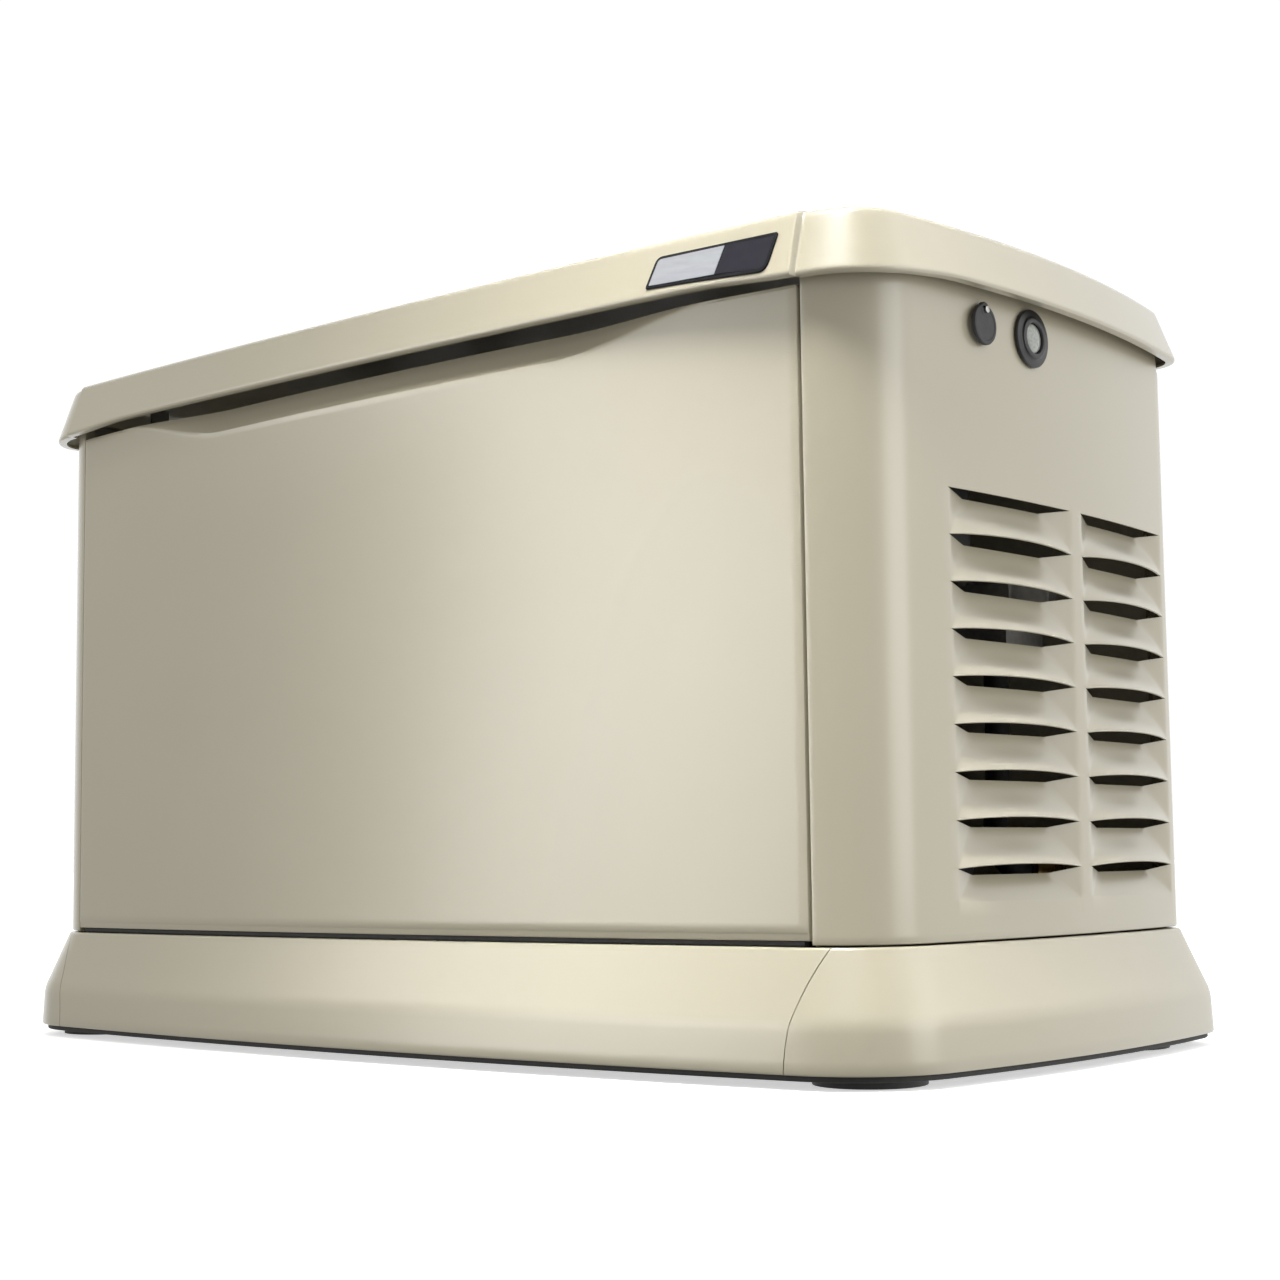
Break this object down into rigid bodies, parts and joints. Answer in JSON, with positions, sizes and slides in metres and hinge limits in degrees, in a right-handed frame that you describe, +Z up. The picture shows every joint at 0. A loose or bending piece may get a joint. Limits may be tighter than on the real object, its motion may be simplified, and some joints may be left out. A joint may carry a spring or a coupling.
{
  "type": "home standby generator",
  "caption": "Standby generator in a bowed, louvered steel enclosure with a hinged roof, a lift-off front panel and a flared skirt.",
  "frame": {"origin": "on the ground, in the middle of the footprint of the skirt", "axes": "+X along the length to the lock and louver end that the picture shows, -Y out of the front panel, +Z up"},
  "size_m": [1.2176, 0.638, 0.732],
  "materials": {
    "painted_steel": "semi-gloss bisque powder coat on sheet steel",
    "base_plastic": "black moulded composite with a fine grain",
    "zinc_sheet": "galvanised sheet with a faint spangle",
    "zinc_hardware": "zinc plated steel",
    "cover_rubber": "black moulded rubber",
    "bezel_plastic": "black moulded plastic",
    "lens_plastic": "translucent smoke grey lens",
    "badge_plastic": "glossy plate in silver and charcoal with no lettering",
    "cradle_steel": "black painted steel",
    "mount_rubber": "black rubber isolators",
    "cast_alloy": "die cast aluminium with a fine grain",
    "cover_plastic": "black glass-filled plastic",
    "forged_steel": "forged and ground steel",
    "plug_ceramic": "white insulator with plated steel",
    "filter_paper": "pleated filter paper",
    "filter_can": "black painted steel can",
    "yellow_plastic": "yellow moulded plastic",
    "starter_paint": "black painted motor case",
    "fan_alloy": "cast flywheel with fan blades",
    "rotor_copper": "varnished windings on a laminated core",
    "stator_steel": "grey painted laminations and frame",
    "exhaust_steel": "aluminised steel, tinted by heat",
    "control_plastic": "dark grey moulded plastic",
    "display_glass": "dark display window",
    "button_red": "red silicone key",
    "button_green": "green silicone key",
    "button_amber": "amber silicone key",
    "breaker_plastic": "black moulded breaker case",
    "battery_plastic": "black polypropylene case",
    "cable_rubber": "red and black insulated cable",
    "regulator_alloy": "die cast regulator body",
    "inlet_brass": "brass pipe fitting",
    "hose_rubber": "black reinforced gas hose"
  },
  "bodies": {
    "enclosure": {"skirt_front": "painted_steel", "skirt_rear": "painted_steel", "skirt_right": "painted_steel", "skirt_left": "painted_steel", "side_panel_right": "painted_steel", "side_panel_left": "painted_steel", "rear_panel": "painted_steel", "base_pan": "base_plastic", "divider_exhaust": "zinc_sheet", "divider_control": "zinc_sheet", "wall_hinge_leaves": "zinc_hardware", "panel_screws": "zinc_hardware", "lock_barrels": "zinc_hardware", "status_bezel": "bezel_plastic", "status_lens": "lens_plastic", "engine_cradle": "cradle_steel", "rubber_mounts": "mount_rubber", "crankcase": "cast_alloy", "cylinders": "cast_alloy", "cylinder_heads": "cast_alloy", "bearing_carrier": "cast_alloy", "intake_manifold": "cast_alloy", "rocker_covers": "cover_plastic", "air_box": "cover_plastic", "blower_housing": "cover_plastic", "spark_plugs": "plug_ceramic", "air_filter": "filter_paper", "oil_filter": "filter_can", "starter_motor": "starter_paint", "alternator_stator": "stator_steel", "exhaust_pipes": "exhaust_steel", "muffler": "exhaust_steel", "control_housing": "control_plastic", "control_display": "display_glass", "main_breaker": "breaker_plastic", "battery": "battery_plastic", "battery_cables": "cable_rubber", "fuel_regulator": "regulator_alloy", "fuel_inlet": "inlet_brass", "fuel_hose": "hose_rubber"},
    "roof": {"roof_shell": "painted_steel", "badge_plate": "badge_plastic", "roof_hinge_leaves": "zinc_hardware", "latch_strikes": "zinc_sheet"},
    "front_panel": {"front_panel": "painted_steel"},
    "lock_right": {"lock_core_right": "zinc_hardware"},
    "lock_left": {"lock_core_left": "zinc_hardware"},
    "lock_cover_right": {"lock_cover_right": "cover_rubber"},
    "lock_cover_left": {"lock_cover_left": "cover_rubber"},
    "rotating_assembly": {"flywheel_fan": "fan_alloy", "crankshaft": "forged_steel", "alternator_rotor": "rotor_copper"},
    "oil_fill_cap": {"oil_fill_cap": "yellow_plastic"},
    "dipstick": {"dipstick": "yellow_plastic"},
    "button_off": {"button_off": "button_red"},
    "button_auto": {"button_auto": "button_green"},
    "button_manual": {"button_manual": "button_amber"},
    "breaker_toggle": {"breaker_toggle": "breaker_plastic"}
  },
  "joints": [
    {"name": "roof_hinge", "type": "hinge", "parent": "enclosure", "child": "roof", "pos_m": [0, 0.296, 0.671], "axis": [-1, 0, 0], "range_deg": [0, 80]},
    {"name": "front_panel_slide", "type": "slide", "parent": "enclosure", "child": "front_panel", "axis": [0, -1, 0], "range_m": [0, 0.35]},
    {"name": "lock_turn_right", "type": "hinge", "parent": "enclosure", "child": "lock_right", "pos_m": [0.57534, -0.098, 0.647], "axis": [1, 0, 0], "range_deg": [0, 90]},
    {"name": "lock_turn_left", "type": "hinge", "parent": "enclosure", "child": "lock_left", "pos_m": [-0.57534, -0.098, 0.647], "axis": [1, 0, 0], "range_deg": [0, 90]},
    {"name": "lock_cover_swing_right", "type": "hinge", "parent": "enclosure", "child": "lock_cover_right", "pos_m": [0.58034, -0.098, 0.66], "axis": [1, 0, 0], "range_deg": [-75, 75]},
    {"name": "lock_cover_swing_left", "type": "hinge", "parent": "enclosure", "child": "lock_cover_left", "pos_m": [-0.58034, -0.098, 0.66], "axis": [1, 0, 0], "range_deg": [-75, 75]},
    {"name": "engine_shaft_spin", "type": "hinge", "parent": "enclosure", "child": "rotating_assembly", "pos_m": [0, 0, 0.225], "axis": [1, 0, 0], "continuous": true},
    {"name": "dipstick_pull", "type": "slide", "parent": "enclosure", "child": "dipstick", "axis": [0, -0.4067, 0.9135], "range_m": [0, 0.09]},
    {"name": "oil_cap_turn", "type": "hinge", "parent": "enclosure", "child": "oil_fill_cap", "pos_m": [-0.129, -0.20648, 0.41168], "axis": [0, -0.7071, 0.7071], "range_deg": [0, 90]},
    {"name": "breaker_switch", "type": "hinge", "parent": "enclosure", "child": "breaker_toggle", "pos_m": [0.497, -0.17872, 0.61309], "axis": [1, 0, 0], "range_deg": [0, 50]},
    {"name": "press_off", "type": "slide", "parent": "enclosure", "child": "button_off", "axis": [0, 0.6093, -0.7929], "range_m": [0, 0.0015], "stiffness_N_per_m": 400},
    {"name": "press_auto", "type": "slide", "parent": "enclosure", "child": "button_auto", "axis": [0, 0.6093, -0.7929], "range_m": [0, 0.0015], "stiffness_N_per_m": 400},
    {"name": "press_manual", "type": "slide", "parent": "enclosure", "child": "button_manual", "axis": [0, 0.6093, -0.7929], "range_m": [0, 0.0015], "stiffness_N_per_m": 400}
  ]
}
